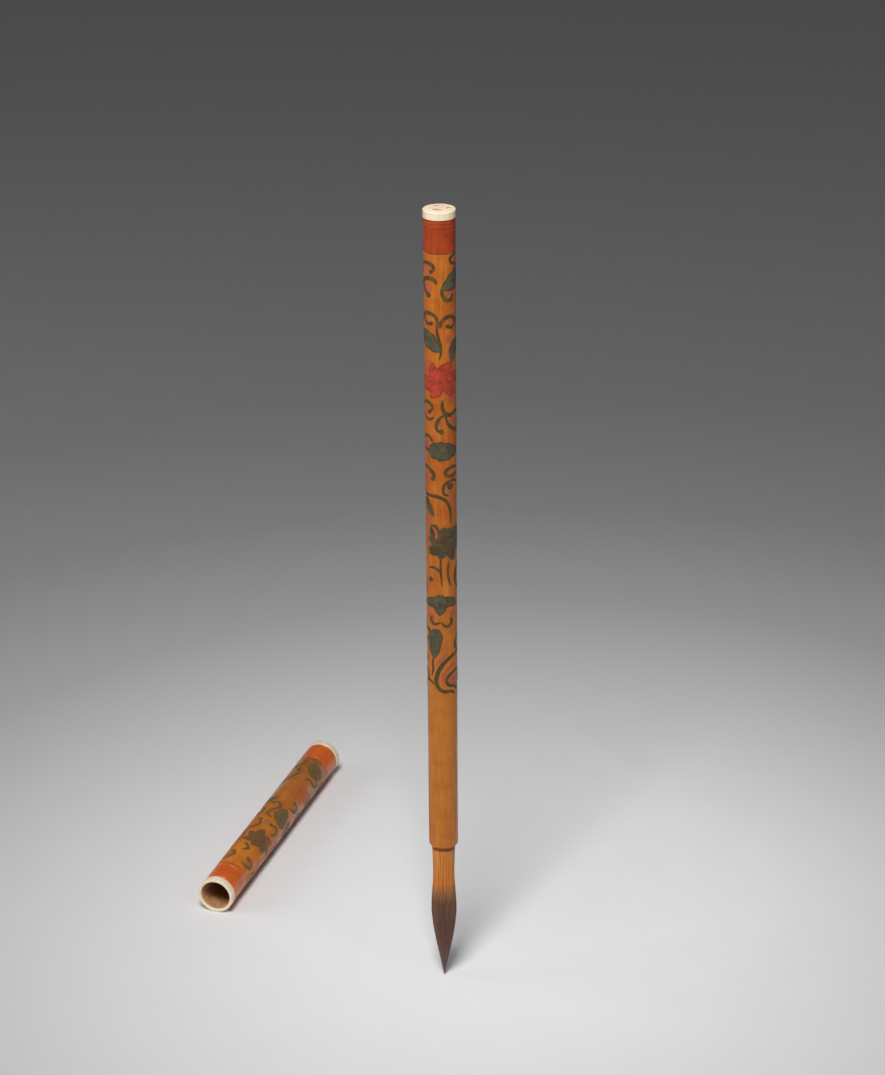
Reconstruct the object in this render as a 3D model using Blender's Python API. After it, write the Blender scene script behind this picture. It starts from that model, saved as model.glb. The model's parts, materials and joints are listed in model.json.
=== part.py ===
"""A writing brush that stands on its tip, with its separate cap lying beside it. Metres, +Z up.

The origin is the tip of the hairs, where the brush touches the table. The brush stands along Z.
The cap lies on the table along Y with its open mouth towards -Y.
"""

import math

import bmesh
import bpy
from mathutils import Matrix, Vector

MM = 0.001
FIT = 0.1 * MM  # clearance between pieces that are glued or laid on each other
SEAM = 0.2 * MM  # end-to-end clearance between neighbouring pieces

# The brush, heights above the tip and radii.
HAIR_LENGTH = 47.4 * MM  # free hair, up to the lower end of the barrel
DECOR_FOOT = 98.0 * MM  # where the plain grip ends and the painted coat begins
BAND_FOOT = 239.6 * MM
IVORY_FOOT = 249.3 * MM
BRUSH_LENGTH = 251.8 * MM
GRIP_RADIUS = 4.5 * MM
DECOR_RADIUS_FOOT = 4.52 * MM
DECOR_RADIUS_TOP = 4.66 * MM
IVORY_RADIUS = 4.76 * MM
COAT_THICKNESS = 0.35 * MM
CORE_RADIUS = GRIP_RADIUS - COAT_THICKNESS - FIT
GRIP_EDGE = 1.0 * MM  # rounding at the lower end of the barrel

# The socket that holds the root of the hair, and the hole for the ivory top's spigot.
SOCKET_RADIUS = 3.62 * MM
SOCKET_DEPTH = 20.0 * MM
ROOT_LENGTH = 13.0 * MM
RESIN_LENGTH = 2.0 * MM
SPIGOT_RADIUS = 2.4 * MM
SPIGOT_LENGTH = 8.0 * MM

# The hair. The tuft bends about NECK_HEIGHT; its domed top turns inside the socket.
NECK_HEIGHT = 46.6 * MM
SHOULDER_HEIGHT = 45.7 * MM  # just under the thread that pinches the hair in
NECK_RADIUS = 3.51 * MM
WAIST_HEIGHT = 37.5 * MM
WAIST_RADIUS = 3.19 * MM
BELLY_HEIGHT = 23.9 * MM
BELLY_RADIUS = 3.77 * MM
PINCH_RADIUS = 3.22 * MM
DOME_RADIUS = 3.3 * MM
HEART_RADIUS = 0.55  # share of the tuft's radius that its stiff heart hairs fill
HEART_TIP = 9.0 * MM
BINDING_INNER = PINCH_RADIUS + FIT
BINDING_OUTER = 3.56 * MM
BINDING_HEIGHT = 0.5 * MM

# The cap, lengths along its axis from the mouth and radii.
CAP_LENGTH = 105.3 * MM
CAP_MOUTH_X = -83.8 * MM
CAP_MOUTH_Y = 15.4 * MM
CAP_RING_RADIUS = 6.0 * MM
CAP_COAT_RADIUS = 5.85 * MM
CAP_CORE_RADIUS = CAP_COAT_RADIUS - COAT_THICKNESS - FIT
CAP_BORE_RADIUS = 4.75 * MM
MOUTH_RING_LENGTH = 2.6 * MM
MOUTH_RING_BORE = 5.0 * MM
MOUTH_LIP = 0.8 * MM
REBATE_RADIUS = 5.22 * MM
MOUTH_BAND_LENGTH = 10.2 * MM
END_BAND_LENGTH = 10.0 * MM
PLUG_LENGTH = 2.8 * MM
PLUG_SPIGOT_LENGTH = 2.0 * MM
EDGE = 0.35 * MM  # rounding of the ivory edges

SIDES_SEEN = 48
SIDES_HIDDEN = 32


def clear_scene():
    for thing in list(bpy.data.objects):
        bpy.data.objects.remove(thing, do_unlink=True)


def material(name, colour, roughness, metallic=0.0):
    made = bpy.data.materials.new(name)
    made.use_nodes = True
    shader = made.node_tree.nodes["Principled BSDF"]
    shader.inputs["Base Color"].default_value = (*colour, 1.0)
    shader.inputs["Roughness"].default_value = roughness
    shader.inputs["Metallic"].default_value = metallic
    return made


def arc(centre, radius, start, end, steps):
    """Points (radius, height) of an arc about centre, angles in degrees from the outward direction."""
    points = []
    for step in range(steps + 1):
        angle = math.radians(start + (end - start) * step / steps)
        points.append((centre[0] + radius * math.cos(angle), centre[1] + radius * math.sin(angle)))
    return points


def turned(name, profile, finish, sides, parent, place=Matrix.Identity(4)):
    """A solid turned about Z from a closed outline of (radius, height) points; a radius of 0 makes a pole."""
    work = bmesh.new()
    rings = []
    for radius, height in profile:
        if radius < 1e-9:
            rings.append([work.verts.new((0.0, 0.0, height))] * sides)
            continue
        ring = []
        for side in range(sides):
            angle = 2 * math.pi * side / sides
            ring.append(work.verts.new((radius * math.cos(angle), radius * math.sin(angle), height)))
        rings.append(ring)
    on_axis = profile[0][0] < 1e-9 and profile[-1][0] < 1e-9
    pairs = len(rings) - 1 if on_axis else len(rings)
    for index in range(pairs):
        low = rings[index]
        high = rings[(index + 1) % len(rings)]
        for side in range(sides):
            after = (side + 1) % sides
            corners = []
            for vert in (low[side], low[after], high[after], high[side]):
                if vert not in corners:
                    corners.append(vert)
            if len(corners) > 2:
                work.faces.new(corners)
    bmesh.ops.recalc_face_normals(work, faces=work.faces)
    mesh = bpy.data.meshes.new(name)
    work.to_mesh(mesh)
    work.free()
    mesh.shade_smooth()
    mesh.set_sharp_from_angle(angle=math.radians(35))
    mesh.materials.append(finish)
    thing = bpy.data.objects.new(name, mesh)
    bpy.context.collection.objects.link(thing)
    thing.parent = parent
    thing.matrix_local = place
    return thing


def holder(name, place, parent=None):
    """An empty on a joint's axis; everything that moves together hangs from it."""
    empty = bpy.data.objects.new(name, None)
    bpy.context.collection.objects.link(empty)
    empty.parent = parent
    empty.matrix_local = place
    return empty


def tuft_radius(height):
    """Outline of the hair: a slight waist under the barrel, a belly, then a long point."""
    if height >= WAIST_HEIGHT:
        share = (height - WAIST_HEIGHT) / (NECK_HEIGHT - WAIST_HEIGHT)
        return WAIST_RADIUS + (NECK_RADIUS - WAIST_RADIUS) * min(share, 1.0)
    if height >= BELLY_HEIGHT:
        share = (height - BELLY_HEIGHT) / (WAIST_HEIGHT - BELLY_HEIGHT)
        return WAIST_RADIUS + (BELLY_RADIUS - WAIST_RADIUS) * 0.5 * (1 + math.cos(math.pi * share))
    share = height / BELLY_HEIGHT
    return BELLY_RADIUS * (1 - (1 - share) ** 1.5) ** 1.12


def make_barrel(brush, finishes):
    core_foot = HAIR_LENGTH + GRIP_EDGE
    core_top = IVORY_FOOT - SEAM
    socket_top = core_foot + SOCKET_DEPTH
    hole_foot = core_top - SPIGOT_LENGTH - SEAM
    hole_radius = SPIGOT_RADIUS + FIT
    turned(
        "barrel_core",
        [
            (0.0, socket_top),
            (SOCKET_RADIUS, socket_top),
            (SOCKET_RADIUS, core_foot),
            (CORE_RADIUS, core_foot),
            (CORE_RADIUS, core_top),
            (hole_radius, core_top),
            (hole_radius, hole_foot),
            (0.0, hole_foot),
        ],
        finishes["cane"],
        SIDES_HIDDEN,
        brush,
    )
    inner = CORE_RADIUS + FIT
    shelf = core_foot - SEAM
    grip_top = DECOR_FOOT - SEAM
    rounding = 0.8 * GRIP_EDGE
    corner = (GRIP_RADIUS - rounding, HAIR_LENGTH + rounding)
    turned(
        "grip_lacquer",
        [
            (SOCKET_RADIUS, shelf),
            (SOCKET_RADIUS, HAIR_LENGTH),
            *arc(corner, rounding, -90, 0, 5),
            (GRIP_RADIUS, grip_top),
            (inner, grip_top),
            (inner, shelf),
        ],
        finishes["plain_lacquer"],
        SIDES_SEEN,
        brush,
    )
    turned(
        "painted_lacquer",
        [
            (inner, DECOR_FOOT),
            (DECOR_RADIUS_FOOT, DECOR_FOOT),
            (DECOR_RADIUS_TOP, BAND_FOOT - SEAM),
            (inner, BAND_FOOT - SEAM),
        ],
        finishes["painted_lacquer"],
        SIDES_SEEN,
        brush,
    )
    turned(
        "red_band",
        [
            (inner, BAND_FOOT),
            (DECOR_RADIUS_TOP, BAND_FOOT),
            (DECOR_RADIUS_TOP, IVORY_FOOT - SEAM),
            (inner, IVORY_FOOT - SEAM),
        ],
        finishes["red_lacquer"],
        SIDES_SEEN,
        brush,
    )


def make_ivory_top(brush, finishes):
    spigot_foot = IVORY_FOOT - SPIGOT_LENGTH
    corner = (IVORY_RADIUS - EDGE, BRUSH_LENGTH - EDGE)
    turned(
        "ivory_top",
        [
            (0.0, spigot_foot),
            (SPIGOT_RADIUS, spigot_foot),
            (SPIGOT_RADIUS, IVORY_FOOT),
            (IVORY_RADIUS - 0.5 * EDGE, IVORY_FOOT),
            (IVORY_RADIUS, IVORY_FOOT + 0.5 * EDGE),
            *arc(corner, EDGE, 0, 90, 4),
            (0.0, BRUSH_LENGTH),
        ],
        finishes["ivory"],
        SIDES_SEEN,
        brush,
    )


def make_hair_root(brush, finishes):
    """The glued root of the hair in the socket, hollowed below so the bending tuft's dome turns under it."""
    cup = DOME_RADIUS + 0.25 * MM
    root_radius = SOCKET_RADIUS - FIT
    cup_foot = NECK_HEIGHT + 2.5 * MM
    cup_angle = math.degrees(math.asin((cup_foot - NECK_HEIGHT) / cup))
    root_top = NECK_HEIGHT + cup + ROOT_LENGTH
    turned(
        "hair_root",
        [
            *arc((0.0, NECK_HEIGHT), cup, 90, cup_angle, 6),
            (root_radius, cup_foot),
            (root_radius, root_top),
            (0.0, root_top),
        ],
        finishes["root_hair"],
        SIDES_HIDDEN,
        brush,
    )
    resin_foot = root_top + SEAM
    turned(
        "root_resin",
        [
            (0.0, resin_foot),
            (root_radius, resin_foot),
            (root_radius, resin_foot + RESIN_LENGTH),
            (0.0, resin_foot + RESIN_LENGTH),
        ],
        finishes["resin"],
        SIDES_HIDDEN,
        brush,
    )


def make_tuft(tuft, finishes):
    """The free hair, stiffer at heart, and the thread round it; heights are from the neck."""
    steps = 13
    outside = []
    for step in range(1, steps + 1):
        height = SHOULDER_HEIGHT * (1 - (1 - step / steps) ** 1.15)
        outside.append((tuft_radius(height), height - NECK_HEIGHT))
    pinch_foot = SHOULDER_HEIGHT - NECK_HEIGHT + 0.2 * MM
    outside += [(PINCH_RADIUS, pinch_foot), (PINCH_RADIUS, 0.0)]
    dome = arc((0.0, 0.0), DOME_RADIUS, 12, 56, 4)
    inside = []
    heart_steps = 8
    for step in range(heart_steps + 1):
        height = HEART_TIP + (NECK_HEIGHT - HEART_TIP) * step / heart_steps
        share = math.sqrt(step / heart_steps)
        radius = tuft_radius(height) * HEART_RADIUS * share
        inside.append((radius, height - NECK_HEIGHT))
    mouth_height = dome[-1][1]
    turned(
        "covering_hair",
        [
            (0.0, -NECK_HEIGHT),
            *outside,
            *dome,
            (inside[-1][0], mouth_height),
            *reversed(inside),
        ],
        finishes["tuft_hair"],
        SIDES_HIDDEN,
        tuft,
    )
    heart = [(0.0, inside[0][1] + 3 * FIT)]
    heart += [(radius - FIT, height) for radius, height in inside[1:]]
    heart += [(inside[-1][0] - FIT, mouth_height), (0.0, DOME_RADIUS)]
    turned("heart_hair", heart, finishes["heart_hair"], SIDES_HIDDEN, tuft)
    binding_foot = pinch_foot + FIT
    half = 0.5 * BINDING_HEIGHT
    middle = 0.5 * (BINDING_INNER + BINDING_OUTER)
    turned(
        "neck_binding",
        [
            (middle, binding_foot),
            (BINDING_OUTER, binding_foot + half),
            (middle, binding_foot + BINDING_HEIGHT),
            (BINDING_INNER, binding_foot + half),
        ],
        finishes["thread"],
        SIDES_HIDDEN,
        tuft,
    )


def make_cap(cap, finishes):
    """The cap along its local +Z, from the mouth at 0 to the closed end."""
    core_mouth = MOUTH_LIP + SEAM
    ring_end = MOUTH_RING_LENGTH
    core_end = CAP_LENGTH - PLUG_LENGTH - SEAM
    shoulder = ring_end + SEAM
    turned(
        "cap_core",
        [
            (CAP_BORE_RADIUS, core_mouth),
            (REBATE_RADIUS, core_mouth),
            (REBATE_RADIUS, shoulder),
            (CAP_CORE_RADIUS, shoulder),
            (CAP_CORE_RADIUS, core_end),
            (CAP_BORE_RADIUS, core_end),
        ],
        finishes["cane"],
        SIDES_HIDDEN,
        cap,
    )
    inner = CAP_CORE_RADIUS + FIT
    mouth_band_end = shoulder + MOUTH_BAND_LENGTH
    end_band_start = core_end - END_BAND_LENGTH
    stretches = (
        ("cap_mouth_band", "red_lacquer", shoulder, mouth_band_end),
        ("cap_painted_lacquer", "painted_lacquer", mouth_band_end + SEAM, end_band_start - SEAM),
        ("cap_end_band", "red_lacquer", end_band_start, core_end),
    )
    for name, finish, start, end in stretches:
        outline = [(inner, start), (CAP_COAT_RADIUS, start), (CAP_COAT_RADIUS, end), (inner, end)]
        turned(name, outline, finishes[finish], SIDES_SEEN, cap)
    rebate = REBATE_RADIUS + FIT
    turned(
        "cap_mouth_ring",
        [
            (MOUTH_RING_BORE, 0.5 * EDGE),
            (MOUTH_RING_BORE + 0.5 * EDGE, 0.0),
            *arc((CAP_RING_RADIUS - EDGE, EDGE), EDGE, -90, 0, 4),
            (CAP_RING_RADIUS, ring_end),
            (rebate, ring_end),
            (rebate, MOUTH_LIP),
            (MOUTH_RING_BORE, MOUTH_LIP),
        ],
        finishes["ivory"],
        SIDES_SEEN,
        cap,
    )
    plug_start = CAP_LENGTH - PLUG_LENGTH
    spigot_radius = CAP_BORE_RADIUS - FIT
    turned(
        "cap_end_plug",
        [
            (0.0, plug_start - PLUG_SPIGOT_LENGTH),
            (spigot_radius, plug_start - PLUG_SPIGOT_LENGTH),
            (spigot_radius, plug_start),
            (CAP_RING_RADIUS, plug_start),
            *arc((CAP_RING_RADIUS - EDGE, CAP_LENGTH - EDGE), EDGE, 0, 90, 4),
            (0.0, CAP_LENGTH),
        ],
        finishes["ivory"],
        SIDES_SEEN,
        cap,
    )


def main():
    clear_scene()
    finishes = {
        "cane": material("cane", (0.30, 0.15, 0.06), 0.7),
        "plain_lacquer": material("plain_lacquer", (0.42, 0.16, 0.035), 0.35),
        "painted_lacquer": material("painted_lacquer", (0.36, 0.09, 0.022), 0.35),
        "red_lacquer": material("red_lacquer", (0.29, 0.05, 0.018), 0.4),
        "ivory": material("ivory", (0.90, 0.79, 0.60), 0.35),
        "tuft_hair": material("tuft_hair", (0.16, 0.07, 0.035), 0.6),
        "heart_hair": material("heart_hair", (0.10, 0.045, 0.03), 0.6),
        "root_hair": material("root_hair", (0.38, 0.16, 0.05), 0.6),
        "resin": material("resin", (0.12, 0.05, 0.02), 0.3),
        "thread": material("thread", (0.04, 0.015, 0.01), 0.8),
    }
    brush = holder("brush_axis", Matrix.Identity(4))
    tuft = holder("tuft_hinge", Matrix.Translation(Vector((0.0, 0.0, NECK_HEIGHT))), brush)
    lying = Matrix.Rotation(math.radians(-90), 4, "X")
    cap = holder("cap_axis", Matrix.Translation(Vector((CAP_MOUTH_X, CAP_MOUTH_Y, CAP_RING_RADIUS))) @ lying)
    make_barrel(brush, finishes)
    make_ivory_top(brush, finishes)
    make_hair_root(brush, finishes)
    make_tuft(tuft, finishes)
    make_cap(cap, finishes)


main()
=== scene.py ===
"""The looks of a lacquered writing brush standing on its tip and of its cap beside it, in metres, +Z up.

The decoration is made of thin closed patches that follow the round barrel and cap. Its motifs are placed in
millimetres on the unrolled wall: across from the line that faces the camera, and along the piece.
"""

import json
import math
import random

import bpy
import bmesh
from mathutils import Matrix, Vector


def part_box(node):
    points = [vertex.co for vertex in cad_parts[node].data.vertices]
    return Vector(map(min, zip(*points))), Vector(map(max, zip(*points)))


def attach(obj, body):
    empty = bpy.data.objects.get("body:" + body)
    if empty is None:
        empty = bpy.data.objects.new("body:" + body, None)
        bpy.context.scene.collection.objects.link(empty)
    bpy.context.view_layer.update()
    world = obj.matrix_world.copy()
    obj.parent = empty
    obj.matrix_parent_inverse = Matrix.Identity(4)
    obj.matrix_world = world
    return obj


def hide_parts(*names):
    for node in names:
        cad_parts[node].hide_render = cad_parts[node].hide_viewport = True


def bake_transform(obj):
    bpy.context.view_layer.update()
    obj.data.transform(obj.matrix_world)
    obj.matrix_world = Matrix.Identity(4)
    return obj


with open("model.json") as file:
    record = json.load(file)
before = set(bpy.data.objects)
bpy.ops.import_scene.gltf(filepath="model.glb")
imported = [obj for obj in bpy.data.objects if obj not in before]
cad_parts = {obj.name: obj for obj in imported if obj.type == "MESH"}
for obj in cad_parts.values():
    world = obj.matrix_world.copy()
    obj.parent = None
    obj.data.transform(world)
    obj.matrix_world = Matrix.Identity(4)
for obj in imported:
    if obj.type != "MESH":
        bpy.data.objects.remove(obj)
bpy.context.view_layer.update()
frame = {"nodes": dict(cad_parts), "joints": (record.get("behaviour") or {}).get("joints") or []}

MM = 0.001

# Where the frame's pieces are.
GRIP_LOW, GRIP_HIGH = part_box("grip_lacquer")
PAINT_LOW, PAINT_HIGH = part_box("painted_lacquer")
BAND_LOW, BAND_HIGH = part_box("red_band")
IVORY_LOW, IVORY_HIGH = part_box("ivory_top")
BINDING_LOW, BINDING_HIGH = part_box("neck_binding")
CAP_CORE_LOW, CAP_CORE_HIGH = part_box("cap_core")
RING_LOW, RING_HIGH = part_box("cap_mouth_ring")
MOUTH_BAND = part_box("cap_mouth_band")
CAP_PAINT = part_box("cap_painted_lacquer")
END_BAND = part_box("cap_end_band")
PLUG_LOW, PLUG_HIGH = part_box("cap_end_plug")
NECK = Vector(next(joint["pos_m"] for joint in frame["joints"] if joint["name"] == "tuft_bend"))

# The camera, and which side of each piece faces it.
VIEW_AZIMUTH = 17.8
VIEW_ELEVATION = 23.0
VIEW_ROLL = -0.40
VIEW_DISTANCE = 0.891
VIEW_TARGET = Vector((0.31 * MM, 0.10 * MM, 150.3 * MM))
LENS_MM = 100.5
SENSOR_MM = 36.0
BRUSH_FACING = VIEW_AZIMUTH - 90.0
CAP_FACING = -54.0

# Radii that the frame's boxes don't give directly, and the coats' thickness.
PAINT_FOOT_RADIUS = GRIP_HIGH.x + 0.02 * MM
CAP_RADIUS = 0.5 * (CAP_PAINT[1].x - CAP_PAINT[0].x)
COAT = 0.35 * MM
SOCKET_RADIUS = 3.62 * MM
RING_BORE = 5.0 * MM
CORE_BORE = 4.75 * MM
SPIGOT_RADIUS = 2.4 * MM

# The cap's axis and mouth.
CAP_AXIS_X = 0.5 * (RING_LOW.x + RING_HIGH.x)
CAP_AXIS_Z = 0.5 * (RING_LOW.z + RING_HIGH.z)
CAP_MOUTH = RING_LOW.y

SIDES = 96
ON_AXIS = 1e-9
PAINT_LIFT = 0.035 * MM
PAINT_SINK = 0.05 * MM
PAINT_LEVEL = 0.012 * MM
PAINT_SMOOTH = 60.0
# Patches of one level differ a little in height, so that no two faces fight where they cross.
PATCH_STEP = 0.0007 * MM
PATCH_STEPS_END = 0.008 * MM

HAIRS = 1300
HAIR_SEED = 11


# ---- node helpers ----


class Shader:
    """A small helper that builds one procedural material around a Principled BSDF."""

    def __init__(self, name, **constants):
        self.material = bpy.data.materials.new(name)
        self.material.use_nodes = True
        self.tree = self.material.node_tree
        self.bsdf = self.tree.nodes["Principled BSDF"]
        for socket, value in constants.items():
            self.bsdf.inputs[socket.replace("_", " ")].default_value = value

    def node(self, kind, **settings):
        """A new node; a setting that starts with in_ is the value of the input with that name."""
        made = self.tree.nodes.new(kind)
        for key, value in settings.items():
            if key.startswith("in_"):
                made.inputs[key[3:].replace("_", " ")].default_value = value
            else:
                setattr(made, key, value)
        return made

    def link(self, out, into):
        self.tree.links.new(out, into)

    def where(self):
        """The object coordinates, in metres."""
        return self.node("ShaderNodeTexCoord").outputs["Object"]

    def coordinates(self, stretch=(1.0, 1.0, 1.0)):
        """Object coordinates, scaled; a larger number makes the pattern finer along that axis."""
        mapping = self.node("ShaderNodeMapping", in_Scale=stretch)
        self.link(self.where(), mapping.inputs["Vector"])
        return mapping.outputs["Vector"]

    def noise(self, scale, detail=3.0, roughness=0.5, stretch=(1.0, 1.0, 1.0)):
        made = self.node("ShaderNodeTexNoise", in_Scale=scale, in_Detail=detail, in_Roughness=roughness)
        self.link(self.coordinates(stretch), made.inputs["Vector"])
        return made.outputs["Fac"]

    def ramp(self, value, stops):
        made = self.node("ShaderNodeValToRGB")
        band = made.color_ramp
        while len(band.elements) < len(stops):
            band.elements.new(0.5)
        for element, (place, colour) in zip(band.elements, stops):
            element.position = place
            element.color = (*colour, 1.0)
        self.link(value, made.inputs["Fac"])
        return made.outputs["Color"]

    def levels(self, value, low, high, out_low=0.0, out_high=1.0):
        ends = {"in_From_Min": low, "in_From_Max": high, "in_To_Min": out_low, "in_To_Max": out_high}
        made = self.node("ShaderNodeMapRange", **ends)
        self.link(value, made.inputs["Value"])
        return made.outputs["Result"]

    def mix(self, share, first, second):
        """Mix of two colours; each may be an output or a colour triple, and share an output or a number."""
        made = self.node("ShaderNodeMix", data_type="RGBA")
        # A colour mix takes its two colours in the sockets 6 and 7.
        for key, value in {"Factor": share, 6: first, 7: second}.items():
            socket = made.inputs[key]
            if isinstance(value, bpy.types.NodeSocket):
                self.link(value, socket)
            elif isinstance(value, tuple):
                socket.default_value = (*value, 1.0)
            else:
                socket.default_value = value
        return made.outputs[2]

    def height(self):
        """The object coordinate along Z, in metres."""
        split = self.node("ShaderNodeSeparateXYZ")
        self.link(self.where(), split.inputs["Vector"])
        return split.outputs["Z"]

    def colour(self, output):
        self.link(output, self.bsdf.inputs["Base Color"])

    def roughness(self, output):
        self.link(output, self.bsdf.inputs["Roughness"])

    def bump(self, value, distance, strength=1.0):
        made = self.node("ShaderNodeBump", in_Distance=distance, in_Strength=strength)
        self.link(value, made.inputs["Height"])
        self.link(made.outputs["Normal"], self.bsdf.inputs["Normal"])


# ---- materials ----

LONGWAYS_Z = (1.0, 1.0, 0.08)
LONGWAYS_Y = (1.0, 0.08, 1.0)
FOOT_FADE = 60 * MM


def lacquer(name, light, dark, rubbed, along, gloss=0.12, foot=None):
    """Aged satin lacquer: cloudy tone, fine lengthwise rubbing, tiny pits and hairline scratches.

    A foot is the pair of light and dark tones from which the coat changes above the foot of the painted part.
    """
    made = Shader(name, Specular_IOR_Level=0.22, Coat_Weight=gloss, Coat_Roughness=0.2)
    clouds = made.levels(made.noise(190.0, 4.0, 0.6), 0.36, 0.66)
    tone = made.mix(clouds, dark, light)
    if foot:
        foot_light, foot_dark = foot
        higher = made.levels(made.height(), PAINT_LOW.z, PAINT_LOW.z + FOOT_FADE)
        tone = made.mix(higher, made.mix(clouds, foot_dark, foot_light), tone)
    streaks = made.levels(made.noise(900.0, 3.0, 0.6, along), 0.50, 0.72, 0.0, 0.55)
    tone = made.mix(streaks, tone, rubbed)
    grime = made.levels(made.noise(2600.0, 2.0, 0.7), 0.62, 0.80, 0.0, 0.5)
    tone = made.mix(grime, tone, tuple(0.45 * part for part in dark))
    made.colour(tone)
    made.roughness(made.levels(made.noise(700.0, 3.0, 0.6, along), 0.3, 0.75, 0.30, 0.50))
    made.bump(made.noise(1300.0, 4.0, 0.65, along), 0.02 * MM, 0.5)
    return made.material


def paint(name, light, dark, worn, wear=0.5):
    """Filled or painted lacquer in a motif, with thin and worn places where the ground shows through."""
    made = Shader(name, Specular_IOR_Level=0.2, Coat_Weight=0.06, Coat_Roughness=0.25)
    clouds = made.levels(made.noise(520.0, 3.0, 0.6), 0.35, 0.65)
    tone = made.mix(clouds, dark, light)
    gaps = made.levels(made.noise(1500.0, 4.0, 0.7), 0.56, 0.72, 0.0, wear)
    made.colour(made.mix(gaps, tone, worn))
    made.roughness(made.levels(made.noise(900.0), 0.3, 0.7, 0.32, 0.52))
    made.bump(made.noise(2400.0, 3.0, 0.6), 0.012 * MM, 0.5)
    return made.material


def ivory(name, along):
    """Polished ivory: creamy, with faint lengthwise grain and yellowed hollows."""
    made = Shader(name, Specular_IOR_Level=0.4, Subsurface_Weight=0.12, Subsurface_Scale=0.6 * MM)
    grain = made.levels(made.noise(1100.0, 4.0, 0.55, along), 0.30, 0.75)
    tone = made.mix(grain, (0.80, 0.67, 0.47), (0.85, 0.745, 0.56))
    aged = made.levels(made.noise(260.0, 3.0, 0.5), 0.55, 0.80, 0.0, 0.35)
    made.colour(made.mix(aged, tone, (0.74, 0.57, 0.36)))
    made.roughness(made.levels(made.noise(1100.0), 0.3, 0.7, 0.22, 0.38))
    made.bump(made.noise(1800.0, 4.0, 0.6, along), 0.012 * MM, 0.4)
    return made.material


def cane(name, along):
    """Bare cane: warm brown with fine lengthwise fibres and darker pores."""
    made = Shader(name, Specular_IOR_Level=0.35)
    fibres = made.levels(made.noise(2200.0, 5.0, 0.7, along), 0.3, 0.72)
    tone = made.mix(fibres, (0.30, 0.135, 0.060), (0.66, 0.36, 0.17))
    stains = made.levels(made.noise(330.0, 3.0, 0.6), 0.45, 0.75, 0.0, 0.6)
    made.colour(made.mix(stains, tone, (0.22, 0.105, 0.050)))
    made.roughness(made.levels(fibres, 0.0, 1.0, 0.75, 0.55))
    made.bump(fibres, 0.06 * MM, 0.7)
    return made.material


# The hair's tone at a share of the way from the point to just above the neck.
HAIR_LOW = 3.5 * MM
HAIR_HIGH = 50.9 * MM
HAIR_TONES = (
    (0.0, (0.27, 0.225, 0.225)),
    (0.10, (0.24, 0.165, 0.150)),
    (0.30, (0.22, 0.112, 0.080)),
    (0.57, (0.24, 0.118, 0.074)),
    (0.65, (0.46, 0.205, 0.080)),
    (0.72, (0.82, 0.29, 0.055)),
    (1.0, (0.88, 0.33, 0.070)),
)


def hair(name, lock_scale):
    """Animal hair: amber under the barrel, dark brown over the belly, greyish at the point."""
    made = Shader(name, Specular_IOR_Level=0.36)
    ragged = made.noise(lock_scale, 3.0, 0.6, (1.0, 1.0, 0.05))
    shift = made.node("ShaderNodeMath", operation="MULTIPLY_ADD")
    made.link(ragged, shift.inputs[0])
    shift.inputs[1].default_value = 7.0 * MM
    made.link(made.height(), shift.inputs[2])
    tone = made.ramp(made.levels(shift.outputs["Value"], HAIR_LOW, HAIR_HIGH), HAIR_TONES)
    strands = made.levels(made.noise(5200.0, 2.0, 0.6, (1.0, 1.0, 0.02)), 0.35, 0.68)
    # Painted shade: between the strands the tone is darkened a third of the way to near black, as shade in
    # the gaps between hairs.
    tone = made.mix(strands, made.mix(0.34, tone, (0.03, 0.015, 0.010)), tone)
    pale = made.levels(made.noise(4300.0, 2.0, 0.6, (1.0, 1.0, 0.02)), 0.60, 0.70, 0.0, 0.25)
    made.colour(made.mix(pale, tone, (0.62, 0.42, 0.26)))
    made.roughness(made.levels(strands, 0.0, 1.0, 0.5, 0.36))
    made.bump(strands, 0.05 * MM, 0.6)
    return made.material


def thread(name):
    made = Shader(name, Specular_IOR_Level=0.3)
    twist = made.levels(made.noise(3600.0, 3.0, 0.6), 0.3, 0.7)
    made.colour(made.mix(twist, (0.045, 0.022, 0.013), (0.17, 0.080, 0.036)))
    made.roughness(made.levels(twist, 0.0, 1.0, 0.85, 0.65))
    made.bump(twist, 0.03 * MM, 0.8)
    return made.material


def resin(name):
    made = Shader(name, Specular_IOR_Level=0.5)
    swirl = made.levels(made.noise(800.0, 4.0, 0.6), 0.3, 0.7)
    made.colour(made.mix(swirl, (0.06, 0.022, 0.009), (0.17, 0.070, 0.026)))
    made.roughness(made.levels(swirl, 0.0, 1.0, 0.25, 0.45))
    made.bump(swirl, 0.05 * MM, 0.4)
    return made.material


# Light tone, dark tone, tone of the worn places and how much is worn, for every paint of the scrolls.
PAINTS = {
    "blush": ((0.42, 0.120, 0.055), (0.37, 0.085, 0.036), (0.47, 0.13, 0.02), 0.85),
    "vine": ((0.112, 0.074, 0.026), (0.058, 0.040, 0.018), (0.26, 0.105, 0.022), 0.60),
    "leaf": ((0.100, 0.098, 0.062), (0.062, 0.060, 0.040), (0.21, 0.105, 0.035), 0.50),
    "red": ((0.48, 0.060, 0.028), (0.34, 0.034, 0.020), (0.47, 0.13, 0.03), 0.70),
    "wine": ((0.36, 0.050, 0.028), (0.26, 0.033, 0.022), (0.44, 0.11, 0.03), 0.65),
    "plum": ((0.135, 0.048, 0.040), (0.060, 0.040, 0.030), (0.26, 0.09, 0.03), 0.50),
    "faded": ((0.50, 0.110, 0.022), (0.43, 0.085, 0.020), (0.50, 0.16, 0.02), 0.80),
}
CAP_THINNING = 0.28
CAP_GROUND = (0.34, 0.185, 0.040)


def thinned(tone):
    """The tone as it shows on the cap, whose paint is rubbed thin over the ground."""
    return tuple(part + CAP_THINNING * (ground - part) for part, ground in zip(tone, CAP_GROUND))


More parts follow.
